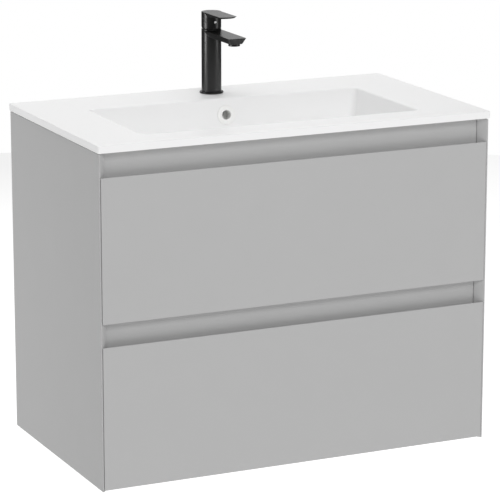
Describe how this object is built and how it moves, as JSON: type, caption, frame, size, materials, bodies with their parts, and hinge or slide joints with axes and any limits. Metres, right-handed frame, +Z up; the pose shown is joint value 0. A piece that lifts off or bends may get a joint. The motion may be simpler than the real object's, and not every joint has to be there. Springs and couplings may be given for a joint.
{
  "type": "bathroom vanity cabinet",
  "caption": "Wall-hung bathroom vanity with mitred drawer fronts, recessed finger grips, a thin-edged inset basin, a single-lever tap and a bottle trap.",
  "frame": {"origin": "middle of the hanging rail's back face, on the wall", "axes": "+X to the right of someone facing the cabinet, +Y into the wall, +Z up"},
  "size_m": [0.8, 0.46, 0.8077],
  "materials": {
    "grey_lacquer": "matt grey lacquer on fibreboard",
    "carcass_board": "grey melamine-faced board",
    "basin_glaze": "gloss white glaze",
    "sealant": "translucent silicone bead",
    "white_plastic": "satin white moulding",
    "chrome": "polished",
    "rubber": "matt black",
    "brass": "turned, unpolished",
    "black_tap": "satin black coating on cast brass",
    "runner_steel": "zinc-plated steel",
    "drawer_steel": "dark grey powder coat",
    "drawer_board": "dark grey textured melamine"
  },
  "bodies": {
    "cabinet": {"basin": "basin_glaze", "basin_seal": "sealant", "bottom_panel": "carcass_board", "hanger_left": "runner_steel", "hanger_right": "runner_steel", "hanging_rail": "carcass_board", "lower_cabinet_rail_left": "runner_steel", "lower_cabinet_rail_right": "runner_steel", "lower_grip_rail": "grey_lacquer", "lower_rear_rail": "carcass_board", "overflow_elbow": "white_plastic", "overflow_hose": "white_plastic", "overflow_ring": "white_plastic", "side_panel_left": "grey_lacquer", "side_panel_right": "grey_lacquer", "tap_aerator": "black_tap", "tap_body": "black_tap", "tap_cartridge": "white_plastic", "tap_foot": "black_tap", "tap_nut": "brass", "tap_shank": "brass", "tap_washer": "rubber", "trap_body": "white_plastic", "trap_cup": "white_plastic", "trap_neck_nut": "white_plastic", "trap_outlet_nut": "white_plastic", "trap_pipe": "white_plastic", "upper_cabinet_rail_left": "runner_steel", "upper_cabinet_rail_right": "runner_steel", "upper_grip_rail": "grey_lacquer", "wall_rosette": "chrome", "waste_body": "chrome", "waste_gasket": "rubber", "waste_nut": "brass"},
    "waste_plug": {"waste_plug": "chrome"},
    "tap_spindle": {"cartridge_spindle": "brass"},
    "tap_lever": {"tap_handle": "black_tap", "tap_indicator": "chrome"},
    "upper_drawer": {"upper_front": "grey_lacquer", "upper_bottom": "drawer_board", "upper_side_left": "drawer_steel", "upper_side_right": "drawer_steel", "upper_drawer_rail_left": "runner_steel", "upper_drawer_rail_right": "runner_steel", "upper_back_left": "drawer_board", "upper_back_right": "drawer_board", "upper_trap_guard": "drawer_steel"},
    "upper_runner_middles": {"upper_middle_rail_left": "runner_steel", "upper_middle_rail_right": "runner_steel"},
    "lower_drawer": {"lower_front": "grey_lacquer", "lower_bottom": "drawer_board", "lower_side_left": "drawer_steel", "lower_side_right": "drawer_steel", "lower_drawer_rail_left": "runner_steel", "lower_drawer_rail_right": "runner_steel", "lower_back": "drawer_board"},
    "lower_runner_middles": {"lower_middle_rail_left": "runner_steel", "lower_middle_rail_right": "runner_steel"}
  },
  "joints": [
    {"name": "upper_drawer_slide", "type": "slide", "parent": "cabinet", "child": "upper_drawer", "axis": [0, -1, 0], "range_m": [0, 0.36]},
    {"name": "upper_middle_slide", "type": "slide", "parent": "cabinet", "child": "upper_runner_middles", "axis": [0, -1, 0], "range_m": [0, 0.18]},
    {"name": "lower_drawer_slide", "type": "slide", "parent": "cabinet", "child": "lower_drawer", "axis": [0, -1, 0], "range_m": [0, 0.36]},
    {"name": "lower_middle_slide", "type": "slide", "parent": "cabinet", "child": "lower_runner_middles", "axis": [0, -1, 0], "range_m": [0, 0.18]},
    {"name": "tap_swivel", "type": "hinge", "parent": "cabinet", "child": "tap_spindle", "pos_m": [0, -0.06, 0.195], "axis": [0, 0, 1], "range_deg": [-45, 45]},
    {"name": "tap_lift", "type": "hinge", "parent": "tap_spindle", "child": "tap_lever", "pos_m": [0, -0.06, 0.206], "axis": [-1, 0, 0], "range_deg": [0, 22]},
    {"name": "waste_plug_lift", "type": "slide", "parent": "cabinet", "child": "waste_plug", "axis": [0, 0, 1], "range_m": [0, 0.006]}
  ],
  "couplings": [
    {"joint": "upper_middle_slide", "follows": "upper_drawer_slide", "ratio": 0.5},
    {"joint": "lower_middle_slide", "follows": "lower_drawer_slide", "ratio": 0.5}
  ]
}
